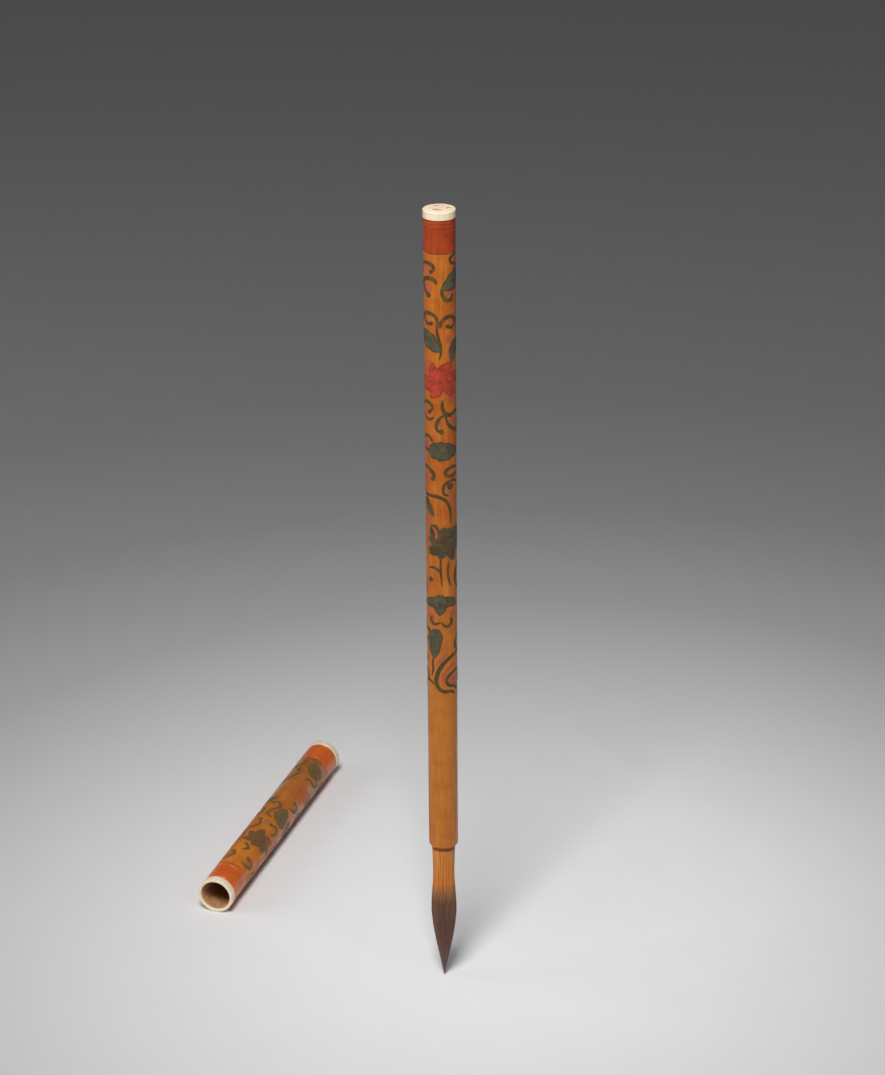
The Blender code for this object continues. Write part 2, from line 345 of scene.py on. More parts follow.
def make_materials():
    gold = (0.60, 0.235, 0.030)
    brush_red = (0.46, 0.105, 0.022)
    cap_red = (0.72, 0.16, 0.020)
    plain = ((0.53, 0.175, 0.022), (0.44, 0.130, 0.015))
    scroll = ((0.49, 0.138, 0.016), (0.385, 0.092, 0.011))
    cap_scroll_tones = ((0.52, 0.170, 0.018), (0.42, 0.112, 0.013))
    band = ((0.41, 0.060, 0.013), (0.28, 0.035, 0.009))
    cap_band = ((0.68, 0.130, 0.014), (0.53, 0.092, 0.011))
    made = {
        "grip": lacquer("ochre_lacquer", *plain, gold, LONGWAYS_Z),
        "ground": lacquer("scroll_ground_lacquer", *scroll, gold, LONGWAYS_Z, foot=plain),
        "band": lacquer("red_band_lacquer", *band, brush_red, LONGWAYS_Z),
        "cap_ground": lacquer("cap_scroll_ground", *cap_scroll_tones, gold, LONGWAYS_Y, 0.5),
        "cap_band": lacquer("cap_band_lacquer", *cap_band, cap_red, LONGWAYS_Y, 0.5),
        "fillet": paint("fillet_paint", (0.50, 0.20, 0.04), (0.42, 0.14, 0.03), (0.40, 0.10, 0.02), 0.7),
        "stain": paint("stain_paint", (0.40, 0.10, 0.07), (0.26, 0.06, 0.04), (0.70, 0.45, 0.32), 0.5),
        "wash": paint("pink_wash_paint", (0.84, 0.58, 0.48), (0.82, 0.50, 0.42), (0.84, 0.73, 0.55), 0.9),
        "ivory": ivory("ivory_polished", LONGWAYS_Z),
        "cap_ivory": ivory("cap_ivory_polished", LONGWAYS_Y),
        "cane": cane("bare_cane", LONGWAYS_Z),
        "cap_cane": cane("cap_bare_cane", LONGWAYS_Y),
        "hair": hair("tuft_hairs", 900.0),
        "hair_body": hair("tuft_under_hairs", 600.0),
        "thread": thread("binding_thread"),
        "resin": resin("root_resin_glue"),
    }
    for paint_name, (light, dark, worn, wear) in PAINTS.items():
        made[f"brush_{paint_name}"] = paint(f"brush_{paint_name}_paint", light, dark, worn, wear)
        thin = (thinned(light), thinned(dark), thinned(worn), wear)
        made[f"cap_{paint_name}"] = paint(f"cap_{paint_name}_paint", *thin)
    return made


# ---- mesh building ----


def added(name, data):
    """A new object in the scene that holds this mesh, lamp or camera."""
    thing = bpy.data.objects.new(name, data)
    bpy.context.scene.collection.objects.link(thing)
    return thing


def finished(work, name, material, smooth_angle=35.0):
    """Makes the object of a bmesh, shaded smooth, with outward normals."""
    bmesh.ops.recalc_face_normals(work, faces=work.faces)
    mesh = bpy.data.meshes.new(name)
    work.to_mesh(mesh)
    work.free()
    mesh.shade_smooth()
    mesh.set_sharp_from_angle(angle=math.radians(smooth_angle))
    mesh.materials.append(material)
    return added(name, mesh)


def place(piece, body, slot, *nodes):
    """Rides piece on its body, in place of the CAD nodes if there are any."""
    if nodes:
        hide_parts(*nodes)
    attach(piece, body)


def brush_point(angle, radius, along):
    """A point on the brush, angle in degrees around it and along in metres above the tip."""
    turn = math.radians(angle)
    return Vector((radius * math.cos(turn), radius * math.sin(turn), along))


def cap_point(angle, radius, along):
    """A point on the cap, along in metres from its mouth towards its closed end."""
    turn = math.radians(angle)
    x = CAP_AXIS_X + radius * math.cos(turn)
    z = CAP_AXIS_Z - radius * math.sin(turn)
    return Vector((x, CAP_MOUTH + along, z))


def wobble(angle, along):
    """Hand-turned unevenness: a few slow waves around and along."""
    turn = math.radians(angle)
    waves = math.sin(2 * turn + 0.7) * math.sin(along * 55.0 + 0.7)
    return waves + 0.6 * math.sin(3 * turn + 1.47 + along * 31.0)


def join_rings(work, low, high):
    """The faces between two rings of vertices; a ring on the axis is one vertex repeated."""
    for side in range(len(low)):
        after = (side + 1) % len(low)
        corners = list(dict.fromkeys((low[side], low[after], high[after], high[side])))
        if len(corners) > 2:
            work.faces.new(corners)


def turned(name, profile, material, point, uneven=0.0):
    """A closed turned solid of (radius, along) points; radius 0 at both ends closes it on the axis."""
    work = bmesh.new()
    rings = []
    for radius, along in profile:
        if radius < ON_AXIS:
            rings.append([work.verts.new(point(0.0, 0.0, along))] * SIDES)
            continue
        ring = []
        for side in range(SIDES):
            angle = 360.0 * side / SIDES
            ring.append(work.verts.new(point(angle, radius + uneven * wobble(angle, along), along)))
        rings.append(ring)
    closed_on_axis = profile[0][0] < ON_AXIS and profile[-1][0] < ON_AXIS
    if not closed_on_axis:
        rings.append(rings[0])
    for low, high in zip(rings, rings[1:]):
        join_rings(work, low, high)
    return finished(work, name, material)


def arc(centre, radius, start, end, steps):
    """Profile points of an arc, angles in degrees from the outward direction."""
    points = []
    for step in range(steps + 1):
        angle = math.radians(start + (end - start) * step / steps)
        points.append((centre[0] + radius * math.cos(angle), centre[1] + radius * math.sin(angle)))
    return points


def line(start, end, step):
    """Evenly spaced profile points from start to end, both included, so the wall can be slightly uneven."""
    count = max(1, round((Vector(end) - Vector(start)).length / step))
    return [tuple(Vector(start).lerp(Vector(end), index / count)) for index in range(count + 1)]


def groove(radius, along, depth, width):
    """Profile points of a shallow turned groove in an outer wall."""
    half = 0.5 * width
    return [
        (radius, along - half),
        (radius - 0.8 * depth, along - 0.35 * width),
        (radius - depth, along),
        (radius - 0.8 * depth, along + 0.35 * width),
        (radius, along + half),
    ]


# ---- decoration patches ----


class Skin:
    """The painted wall of the brush or of the cap, which motifs are laid on."""

    def __init__(self, point, facing, start, end):
        """start and end are each a distance along the piece and the wall's radius there."""
        self.point = point
        self.facing = facing
        self.start, self.start_radius = start
        self.end, self.end_radius = end
        self.lift = 0.0

    def radius(self, along):
        share = (along - self.start) / (self.end - self.start)
        return self.start_radius + (self.end_radius - self.start_radius) * share

    def at(self, across, along, lift):
        """The point at across and along, in millimetres on the unrolled wall; across 0 faces the camera."""
        wall = self.radius(along * MM)
        angle = self.facing + math.degrees(across * MM / wall)
        return self.point(angle, wall + lift, along * MM)


def patch(work, skin, grid, level):
    """A thin closed patch over a grid of (across, along) points, following the round wall."""
    skin.lift = (skin.lift + PATCH_STEP) % PATCH_STEPS_END
    lift = PAINT_LIFT + level * PAINT_LEVEL + skin.lift
    tops = [[work.verts.new(skin.at(u, v, lift)) for u, v in row] for row in grid]
    bases = [[work.verts.new(skin.at(u, v, -PAINT_SINK)) for u, v in row] for row in grid]
    rows = len(grid)
    columns = len(grid[0])
    for i in range(rows - 1):
        for j in range(columns - 1):
            work.faces.new((tops[i][j], tops[i][j + 1], tops[i + 1][j + 1], tops[i + 1][j]))
            work.faces.new((bases[i][j], bases[i + 1][j], bases[i + 1][j + 1], bases[i][j + 1]))
    border = [(0, j) for j in range(columns)]
    border += [(i, columns - 1) for i in range(1, rows)]
    border += [(rows - 1, j) for j in range(columns - 2, -1, -1)]
    border += [(i, 0) for i in range(rows - 2, 0, -1)]
    for index, (i, j) in enumerate(border):
        k, m = border[(index + 1) % len(border)]
        work.faces.new((tops[i][j], bases[i][j], bases[k][m], tops[k][m]))


def smooth_path(points, per_span=6):
    """Catmull-Rom points through the given ones."""
    ends = [2 * points[0] - points[1], *points, 2 * points[-1] - points[-2]]
    path = []
    for index in range(1, len(ends) - 2):
        a, b, c, d = ends[index - 1], ends[index], ends[index + 1], ends[index + 2]
        for step in range(per_span):
            t = step / per_span
            part = (2 * b) + (c - a) * t + (2 * a - 5 * b + 4 * c - d) * t * t
            path.append(0.5 * (part + (3 * b - a - 3 * c + d) * t**3))
    path.append(points[-1])
    return path


def ribbon(work, skin, path, width, level=0, start=0.35, end=0.35):
    """A brush-drawn line along path; start and end are the shares of its width at its two ends."""
    count = len(path) - 1
    grid = []
    for index, here in enumerate(path):
        before = path[max(index - 1, 0)]
        after = path[min(index + 1, count)]
        along = (after - before).normalized()
        side = Vector((-along.y, along.x))
        t = index / count
        share = (1 - t) * start + t * end + (1 - 0.5 * (start + end)) * math.sin(math.pi * t) ** 0.6
        half = 0.5 * width * share
        grid.append([tuple(here + side * half * place) for place in (1.0, 0.0, -1.0)])
    patch(work, skin, grid, level)


def stroke(work, skin, points, width, level=0, start=0.35, end=0.35):
    """A ribbon through a few (across, along) points."""
    ribbon(work, skin, smooth_path([Vector(p) for p in points]), width, level, start, end)


def dot(work, skin, centre, radius, level=0, stretch=1.0):
    """A small round spot, as concentric square rings pressed into a disc."""
    steps = 6
    grid = []
    for i in range(steps + 1):
        row = []
        for j in range(steps + 1):
            x = 2 * i / steps - 1
            y = 2 * j / steps - 1
            across = centre[0] + radius * x * math.sqrt(1 - 0.5 * y * y)
            along = centre[1] + radius * stretch * y * math.sqrt(1 - 0.5 * x * x)
            row.append((across, along))
        grid.append(row)
    patch(work, skin, grid, level)


def leaf_axes(base, tip):
    """The vector from a leaf's base to its tip, and the direction across it."""
    span = Vector(tip) - Vector(base)
    return span, Vector((-span.y, span.x)).normalized()


def on_midrib(base, tip, bow, t):
    """The point at share t of a leaf's midrib, which bow bends to one side."""
    span, side = leaf_axes(base, tip)
    return Vector(base) + span * t + side * bow * math.sin(math.pi * t)


def leaf_grid(base, tip, width, bow, lobes, fill, depth=0.16):
    """Grid of a leaf from base to tip; bow bends its midrib and lobes scallop its edge."""
    side = leaf_axes(base, tip)[1]
    rows = 22
    grid = []
    for i in range(rows + 1):
        t = i / rows
        spine = on_midrib(base, tip, bow, t)
        edge = math.sin(math.pi * min(1.0, 0.03 + 0.97 * t) ** 0.78) ** 0.62
        edge *= 1.0 - depth * (0.5 + 0.5 * math.cos(2 * math.pi * lobes * t)) * (1 - t * 0.4)
        half = 0.5 * width * max(edge, 0.05) * fill
        grid.append([tuple(spine + side * half * (j / 3.0)) for j in range(-3, 4)])
    return grid


def leaf(works, skin, base, tip, width, bow=0.0, lobes=3.0, level=1):
    """A leaf: a dark outline patch, a lighter body on it, a midrib and side veins."""
    dark = works["vine"]
    patch(dark, skin, leaf_grid(base, tip, width, bow, lobes, 1.0), level)
    patch(works["leaf"], skin, leaf_grid(base, tip, width, bow, lobes, 0.78), level + 1)
    midrib = [on_midrib(base, tip, bow, t) for t in (0.02, 0.3, 0.6, 0.9)]
    ribbon(dark, skin, smooth_path(midrib), 0.20, level + 2, 0.8, 0.2)
    span, side = leaf_axes(base, tip)
    for t in (0.25, 0.42, 0.58):
        root = on_midrib(base, tip, bow, t)
        for hand in (-1, 1):
            reach = root + span * 0.16 + side * hand * 0.26 * width
            middle = root.lerp(reach, 0.5) + span * -0.02
            ribbon(dark, skin, smooth_path([root, middle, reach], 4), 0.13, level + 2, 0.9, 0.3)


def petal(light, dark, skin, centre, angle, length, width, bow, level):
    """One pointed petal that starts a little off the flower's centre, light on a dark edge."""
    heading = Vector((math.cos(math.radians(angle)), math.sin(math.radians(angle))))
    base = Vector(centre) + heading * 0.08 * length
    tip = Vector(centre) + heading * length
    patch(dark, skin, leaf_grid(base, tip, width, bow, 1.0, 1.0, 0.05), level)
    inner_tip = base.lerp(tip, 0.86)
    inner_base = base.lerp(tip, 0.10)
    inner = leaf_grid(inner_base, inner_tip, width * 0.72, bow * 0.8, 1.0, 1.0, 0.05)
    patch(light, skin, inner, level + 1)


def flower(works, skin, centre, petals, light, dark, heart, fullness=0.56):
    """A lotus drawn freely: outer petals of (angle, length), short inner ones, and a small heart."""
    tones = (works[light], works[dark])
    for index, (angle, length) in enumerate(petals):
        petal(*tones, skin, centre, angle, length, fullness * length, 0.12 * length, 2 + index % 3)
    for index, (angle, length) in enumerate(petals):
        reach = (0.62 if index % 2 else 0.42) * length
        petal(*tones, skin, centre, angle + 24.0, reach, 0.6 * reach, 0.1 * reach, 7)
    dot(works[heart], skin, centre, 0.75, 10)


def pens(works, skin, usual_width, blush_stretch):
    """The tools a scroll is drawn with: vines that may end in a knob, blush spots, spots and leaves."""

    def spot(tone, centre, radius, level=0, stretch=1.0):
        dot(works[tone], skin, centre, radius, level, stretch)

    def vine(points, width=usual_width, knob=0.0, **shape):
        stroke(works["vine"], skin, points, width, **shape)
        if knob:
            spot("vine", points[-1], knob)

    def blush(*spots):
        for across, along, radius in spots:
            spot("blush", (across, along), radius, -1, blush_stretch)

    def frond(*shape, **more):
        leaf(works, skin, *shape, **more)

    return vine, blush, spot, frond


# ---- the painted scrolls ----


def brush_scroll(works, skin):
    """One half of the lotus scroll around the barrel, from top to bottom."""
    vine, blush, spot, frond = pens(works, skin, 1.15, 1.25)

    # Curls and the first large leaf under the red band.
    blush((-4, 234.8, 1.2), (-3.6, 229.2, 1.2), (3.6, 227.9, 1.1), (5, 236.9, 1))
    vine([(-6.9, 235), (-5.6, 236.4), (-3.5, 236.7), (-2, 236), (-1.8, 234.9), (-2.7, 234.1)], knob=0.65)
    vine([(-6.9, 229.6), (-5.4, 231.5), (-3.1, 232.2), (-1.5, 231.7), (-0.9, 230.6)], 1.3)
    vine([(-5.6, 231), (-5.3, 228.6), (-3.6, 227.2)], 1.1, knob=0.9)
    vine([(6.6, 239), (4.4, 238.9), (3.3, 238), (3.6, 236.8), (5.4, 236)], 1, knob=0.6)
    frond((6.9, 234.2), (0.6, 229), 5.8, 0.8)
    vine([(0.8, 230), (0.7, 227.8), (1.7, 225.9), (3.3, 225.7), (4, 226.9)], 1.3, knob=0.6)

    # The vine splits in two arcs over a pair of leaves.
    blush((-3.6, 219.2, 1.1), (3.3, 218.4, 1.1), (2.6, 214, 1))
    vine([(-7, 219), (-5.4, 221.2), (-3.3, 221.7), (-1.3, 220.8), (-0.4, 218.6)], 1.2)
    vine([(-5.7, 220.8), (-4.8, 219), (-3.7, 218.4), (-2.6, 218.7)], 0.9, knob=0.65)
    vine([(0, 217.4), (0.5, 219.4), (2, 220.6), (3.8, 220.5), (6.6, 218.3)], 1.2)
    vine([(5.2, 219.4), (4.4, 217.9), (3.3, 217.3), (2.3, 217.8)], 0.9, knob=0.6)
    vine([(-0.7, 219), (-0.9, 216.6), (-0.5, 214.6), (0.1, 212), (0.2, 209.6), (-0.3, 207.8)], 0.9)
    frond((-7, 215.6), (0.1, 210.2), 5.4, 0.4)
    frond((5.8, 213.8), (3.6, 206.4), 3.6, -0.4)

    lotus = ((112, 6.3), (58, 6.9), (3, 6.2), (-52, 6.6), (-121, 6.2), (-160, 6.2), (173, 6.6))
    spot("blush", (-3.6, 204.2), 2.6, 0, 1.3)
    spot("blush", (3.4, 196.6), 2.2, 0, 1)
    flower(works, skin, (-0.1, 201.1), lotus, "red", "wine", "wine")
    spots = ((-2.2, 205, 0.9), (3.9, 203.6, 1), (-1.8, 200.6, 0.8), (3, 198.6, 1.1))
    for across, along, radius in spots:
        spot("wine", (across, along), radius, 12, 0.8)

    # Hooks between the red flower and the round leaf.
    blush((-4.2, 191.9, 1), (3.6, 188.8, 1.2), (0.2, 188, 0.9), (-4.9, 181.5, 1.1))
    vine([(-7.1, 193.2), (-5, 194.5), (-3.2, 194.1), (-2.5, 192.7), (-3.6, 191.4)], knob=0.6)
    vine([(-6.2, 190.6), (-4.8, 189.4), (-3.2, 189.2), (-1.9, 190)], 0.95)
    vine([(0.6, 195.4), (0.6, 192.9), (1.7, 191), (3.6, 190.7), (5.6, 191.6), (7, 190.6)], 1.3)
    vine([(1.8, 191), (-0.2, 189.8), (-1.3, 187.6), (-0.9, 186), (0.2, 185.6)], knob=0.85)
    vine([(1.5, 190.4), (2, 188.4), (3.4, 186.6), (5.8, 185.4), (7, 185.8)])
    vine([(-6.8, 182.6), (-5.2, 183.8), (-3.6, 183.7), (-2.8, 182.7)], 1.1, knob=0.5)
    vine([(-6.9, 180.9), (-5.2, 179.6), (-3, 179.5)])
    frond((-3.9, 179.7), (6.2, 179), 6.4, 0, 4)

    # Curls and the long vine arc towards the dark flower.
    blush((-4, 171.6, 1.2), (2.6, 166.6, 1.1), (3.6, 162.9, 1.3), (3, 172.5, 0.8), (-4.4, 157.4, 1.2))
    vine([(-6.8, 173.6), (-5, 174), (-3, 173.1), (-2.1, 171.9), (-2.5, 170.7)], 1.3, knob=0.75)
    arc_start = [(-7.1, 169.8), (-6.9, 167.2), (-5.4, 165.4), (-3, 165.3), (-1.2, 165.2)]
    vine([*arc_start, (0.8, 164.3), (2.2, 162.6), (2.9, 160), (3, 156.4)])
    vine([(5.9, 174), (3.4, 174.2), (1.5, 173.2), (1.7, 171.8), (3.7, 171.4), (5.8, 172.2)])
    vine([(6, 169), (3.8, 170), (1.8, 169.5), (0.7, 168.1), (0.8, 166.1), (2.3, 165.3)], 1)
    spot("vine", (2.9, 168.2), 1.05, 3)
    frond((-5.4, 164.4), (-2.2, 158.8), 2.6, -0.3)

    spot("blush", (-3.4, 150.6), 2, 0, 2)
    frond((7.2, 154.2), (1.6, 148.4), 7.2, 0.6, 2)
    lotus = ((124, 6.2), (172, 4.8), (-134, 6.2), (-98, 6), (-4, 5.8), (-62, 7.4), (34, 6), (80, 4.6))
    flower(works, skin, (0.3, 151), lotus, "vine", "leaf", "plum", 0.62)
    spot("vine", (-2.2, 154.4), 1.5, 11, 1.3)
    spot("vine", (-2.6, 148), 1.6, 11, 0.8)
    spot("leaf", (4.4, 151.4), 1.7, 11, 0.8)
    spot("plum", (-0.4, 150.8), 1.3, 11, 0.7)
    stroke(works["blush"], skin, [(-2.6, 155.4), (-1.5, 153.8), (-1.6, 151.8)], 0.9, 11)

    # Small stems, the three-lobed leaf and the paired curls.
    vine([(-4.2, 142), (-2, 142.3), (-0.4, 140.9)], 0.9)
    vine([(-0.2, 146.4), (-0.3, 142.4), (0.1, 136.4)], 0.7)
    vine([(2.2, 144.4), (1.9, 140.4), (2.7, 136.2)], 0.8)
    vine([(6.7, 143.4), (5, 140.8), (4.7, 137.6), (6.2, 135.2)], 1.1, knob=0.6)
    spot("vine", (-3.5, 138.3), 0.8)
    blush((-3.2, 126.5, 1), (3.4, 127.3, 1), (-5.9, 134.6, 1.2))
    frond((0.3, 131), (-6.6, 130.2), 3.8, -0.3, 2)
    frond((-0.7, 131.2), (5.6, 130.4), 3.8, 0.3, 2)
    frond((-0.5, 133.6), (-0.6, 126.8), 4.8, 0, 2, level=4)
    vine([(-3.4, 126.2), (-3.5, 124.9), (-2.3, 123.8), (-0.5, 124.6)], 1.1, start=0.9)
    vine([(-0.2, 124.6), (1.2, 123.2), (2.9, 123.9), (3, 125.9)], 1.1, end=0.9)

    # The lowest leaf, with its stem, and the large hook that ends the scroll.
    blush((3.6, 104.9, 1.4), (-5.6, 112.2, 1.1))
    stroke(works["blush"], skin, [(1.8, 114.8), (-0.2, 112.4), (-1.8, 110.2)], 1.3)
    stroke(works["blush"], skin, [(4.4, 110.8), (2, 109.2), (0.5, 106.6), (0.8, 104.2)], 1.3)
    vine([(-6.9, 121.4), (-5, 121.6), (-3.9, 120.7), (-4.9, 118.6)], 1.1, knob=0.55)
    frond((-1.6, 122.4), (-2.6, 112.4), 5, -0.3, 2)
    vine([(-2.5, 113.6), (-3.1, 111), (-2.9, 108.8), (-3.6, 106.2)], 0.8)
    vine([(6.9, 119.8), (4.9, 118.2), (4.5, 116), (5.8, 114.8)], 1, knob=0.55)
    hook_start = [(6.6, 114.2), (4, 113.6), (1.9, 112.4), (0.1, 110.6), (-1.3, 108), (-1.9, 105)]
    vine([*hook_start, (-1.1, 102.7), (0.6, 101.6), (2.6, 101.6), (4.3, 100.2)], 1.35)
    vine([(6.2, 108.6), (3.9, 107.9), (2.2, 106.9), (1.3, 105.3), (2.1, 103.6), (3.9, 102.9), (5.6, 101.4)])
    vine([(-6.9, 103.2), (-5.6, 104.6), (-4, 104.8), (-2.4, 103.7)], 0.95)
    vine([(-6.6, 108.8), (-5.2, 107.4), (-5, 105.6)], 0.9, knob=0.5)


def cap_scroll(works, skin):
    """One half of the lotus scroll around the cap, from its mouth to its closed end."""
    vine, blush, spot, frond = pens(works, skin, 1.2, 1.3)

    blush((2.2, 18, 1.2), (-5.6, 18.4, 1.1), (6.4, 19.4, 1))
    vine([(-0.4, 16.2), (1.9, 15.8), (3.6, 17.5), (3, 19.8), (1.2, 19.6)], 1.3, knob=0.9)
    vine([(-7.8, 16.4), (-5.4, 17), (-4.1, 19.2), (-5.4, 21.2)], 1.3, knob=0.9)
    vine([(8.2, 16.2), (6, 17.6), (6.8, 20.6)], knob=0.8)
    vine([(-2.8, 22.6), (-1.2, 24.4), (-2.6, 26.4)], knob=0.8)

    lotus = ((100, 6.4), (150, 6.2), (-160, 6.4), (-110, 5.4), (-60, 5.6), (-8, 6), (46, 6.4))
    flower(works, skin, (0.4, 32.2), lotus, "plum", "vine", "plum")
    spot("wine", (2.6, 34.2), 1.1, 11)
    spot("vine", (-2.6, 31.2), 1.3, 11)

    blush((-6.6, 34.4, 1.2), (6.6, 40.6, 1.2), (-1.8, 43.4, 1.1))
    vine([(-8.6, 28.4), (-6.8, 31.6), (-7, 35.6), (-5.2, 38.4), (-3.4, 40.8), (-4.4, 44.4)], 1.3, knob=0.9)
    vine([(2, 38.8), (3.6, 41.2), (2.4, 43.8), (0.2, 43)], knob=0.8)
    vine([(8.6, 32.6), (6.8, 36.4), (7.4, 40.4)], knob=0.9)
    frond((2.6, 46), (1.4, 56), 6.4, 0.6)
    frond((7.6, 47.4), (5.2, 54.6), 3.8, -0.4)
    blush((-3, 51.2, 1.2), (-7.2, 49.8, 1.1))
    vine([(-1.6, 46.6), (-3.6, 49), (-2.8, 52), (-1.2, 54.6), (-2.4, 57.4), (-4.2, 56.6)], knob=0.9)
    vine([(-8.6, 46.6), (-6.4, 49), (-6.2, 52.4), (-7.6, 54.2)], knob=0.8)
    frond((-8.4, 57.2), (-4, 60.8), 3.8, 0.4, 2)
    blush((2.6, 60.4, 1.1))
    vine([(1.6, 57.8), (4, 59.2), (4.2, 62), (2.4, 62.6)], knob=0.8)
    vine([(8.2, 58.8), (6.6, 62), (7.8, 65.2)], knob=0.8)

    lotus = ((96, 6), (148, 5.6), (-158, 5.8), (-104, 5.4), (-52, 5.8), (0, 5.6), (48, 6))
    flower(works, skin, (0.6, 69.4), lotus, "faded", "faded", "wine")

    blush((5.8, 74.2, 1.2), (-5, 79, 1.2), (3, 80.9, 1.1))
    vine([(8, 69), (6.4, 72), (7.4, 75.2), (8.8, 74.2)], knob=0.8)
    vine([(-8.4, 71.6), (-6.8, 75.4), (-4.6, 77.2), (-3.6, 80), (-4.8, 82.4)], knob=0.9)
    vine([(-0.4, 77.2), (1.4, 79), (3.8, 78.8), (4.8, 81.2), (3.2, 82.8)], knob=0.9)
    frond((1.6, 81.4), (-0.8, 89.6), 4.6, 0.4)
    frond((4.4, 85), (0.4, 88.6), 3.6, 0.2, 2)
    vine([(-7.8, 84.4), (-5.4, 86), (-4.2, 89)], knob=0.8)
    vine([(8.4, 82.4), (6.6, 85.6), (7.4, 88.8)], knob=0.8)


class OtherHalf:
    """The same wall seen from its far side, so that one half of a scroll repeats upside down there."""

    def __init__(self, skin):
        self.skin = skin
        self.lift = 0.0
        self.turn = math.pi * 0.5 * (skin.start_radius + skin.end_radius) / MM
        self.total = (skin.start + skin.end) / MM

    def at(self, across, along, lift):
        return self.skin.at(self.turn - across, self.total - along, lift)


def make_scroll(body, scroll, skin, finishes):
    """All the motifs of one body, one object for each colour of paint."""
    works = {paint_name: bmesh.new() for paint_name in PAINTS}
    scroll(works, skin)
    scroll(works, OtherHalf(skin))
    for paint_name, work in works.items():
        if not work.faces:
            work.free()
            continue
        finish = f"{body}_{paint_name}"
        piece = finished(work, f"{finish}_scroll", finishes[finish], PAINT_SMOOTH)
        place(piece, body, "painted_lacquer")


# ---- the brush ----


def brush_part(name, profile, material, slot, *nodes, uneven=0.0):
    place(turned(name, profile, material, brush_point, uneven), "brush", slot, *nodes)


def make_grip(finishes):
    """The plain lower coat, with a rounded rim around the socket."""
    radius = GRIP_HIGH.x
    edge = 0.8 * MM
    foot = GRIP_LOW.z
    top = PAINT_LOW.z - 0.01 * MM
    profile = [
        (SOCKET_RADIUS, foot + 0.8 * MM),
        (SOCKET_RADIUS, foot + 0.15 * MM),
        (SOCKET_RADIUS + 0.15 * MM, foot),
        *arc((radius - edge, foot + edge), edge, -90, 0, 8),
        *line((radius, foot + edge + 0.1 * MM), (radius, top), 1.5 * MM),
        (radius - COAT, top),
        (radius - COAT, foot + 0.8 * MM),
    ]
    finish = finishes["grip"]
    brush_part("grip_coat", profile, finish, "plain_lacquer", "grip_lacquer", uneven=0.010 * MM)


def make_painted_coat(finishes):
    inner = GRIP_HIGH.x - COAT
    profile = [
        (inner, PAINT_LOW.z),
        *line((PAINT_FOOT_RADIUS, PAINT_LOW.z), (PAINT_HIGH.x, PAINT_HIGH.z), 2.0 * MM),
        (inner, PAINT_HIGH.z),
    ]
    brush_part("painted_coat", profile, finishes["ground"], "painted_lacquer", "painted_lacquer")


def make_red_band(finishes):
    """The red coat with its two turned grooves, and the pale fillet painted just under it."""
    wall = BAND_HIGH.x
    inner = GRIP_HIGH.x - COAT
    profile = [(inner, BAND_LOW.z), (wall, BAND_LOW.z)]
    for height in (7.0, 8.4):
        profile += groove(wall, BAND_LOW.z + height * MM, 0.10 * MM, 0.40 * MM)
    profile += [(wall, BAND_HIGH.z), (inner, BAND_HIGH.z)]
    brush_part("red_band_coat", profile, finishes["band"], "red_lacquer", "red_band")

    foot = PAINT_HIGH.z - 0.55 * MM
    sunk = PAINT_HIGH.x - 0.05 * MM
    proud = PAINT_HIGH.x + 0.03 * MM
    fillet = [(sunk, foot), (proud, foot + 0.08 * MM), (proud, foot + 0.32 * MM), (sunk, foot + 0.40 * MM)]
    brush_part("band_fillet", fillet, finishes["fillet"], "painted_lacquer")


def make_ivory_top(finishes):
    """The ivory end on its spigot, with a fine turned ring near the edge of its flat top."""
    radius = IVORY_HIGH.x
    foot = BAND_HIGH.z + 0.2 * MM
    top = IVORY_HIGH.z
    edge = 0.35 * MM
    profile = [
        (0.0, IVORY_LOW.z),
        (SPIGOT_RADIUS, IVORY_LOW.z),
        (SPIGOT_RADIUS, foot),
        (radius - 0.18 * MM, foot),
        (radius, foot + 0.18 * MM),
        *line((radius, foot + 0.3 * MM), (radius, top - edge - 0.1 * MM), 0.5 * MM),
        *arc((radius - edge, top - edge), edge, 0, 90, 7),
        (radius - 0.9 * MM, top),
        (radius - 1.05 * MM, top - 0.05 * MM),
        (radius - 1.20 * MM, top),
        (2.2 * MM, top),
        (0.0, top),
    ]
    brush_part("ivory_finial", profile, finishes["ivory"], "ivory", "ivory_top")

    # A worn pink wash and three reddish strokes on the flat top.
    skin = FlatTop(top)
    wash = bmesh.new()
    dot(wash, skin, (0.5, 1.9), 2.1, 0, 0.75)
    place(finished(wash, "top_pink_wash", finishes["wash"], PAINT_SMOOTH), "brush", "ivory")
    marks = bmesh.new()
    stroke(marks, skin, [(-2.0, -1.5), (-1.1, -1.2), (-0.2, -1.7), (0.7, -1.5)], 0.62, 3)
    stroke(marks, skin, [(2.0, -0.4), (2.5, 0.6), (3.6, 0.9)], 0.40, 3)
    stroke(marks, skin, [(-2.2, 2.6), (-0.9, 2.2), (-0.3, 3.1), (0.9, 3.3)], 0.34, 3)
    place(finished(marks, "top_stain_marks", finishes["stain"], PAINT_SMOOTH), "brush", "ivory")


class FlatTop:
    """The flat ivory top as a surface for paint: across is to the camera's right, along is away from it."""

    def __init__(self, height):
        self.height = height
        self.lift = 0.0

    def at(self, across, along, lift):
        turn = Matrix.Rotation(math.radians(VIEW_AZIMUTH), 3, "Z")
        return turn @ Vector((across * MM, along * MM, self.height + 0.3 * lift))


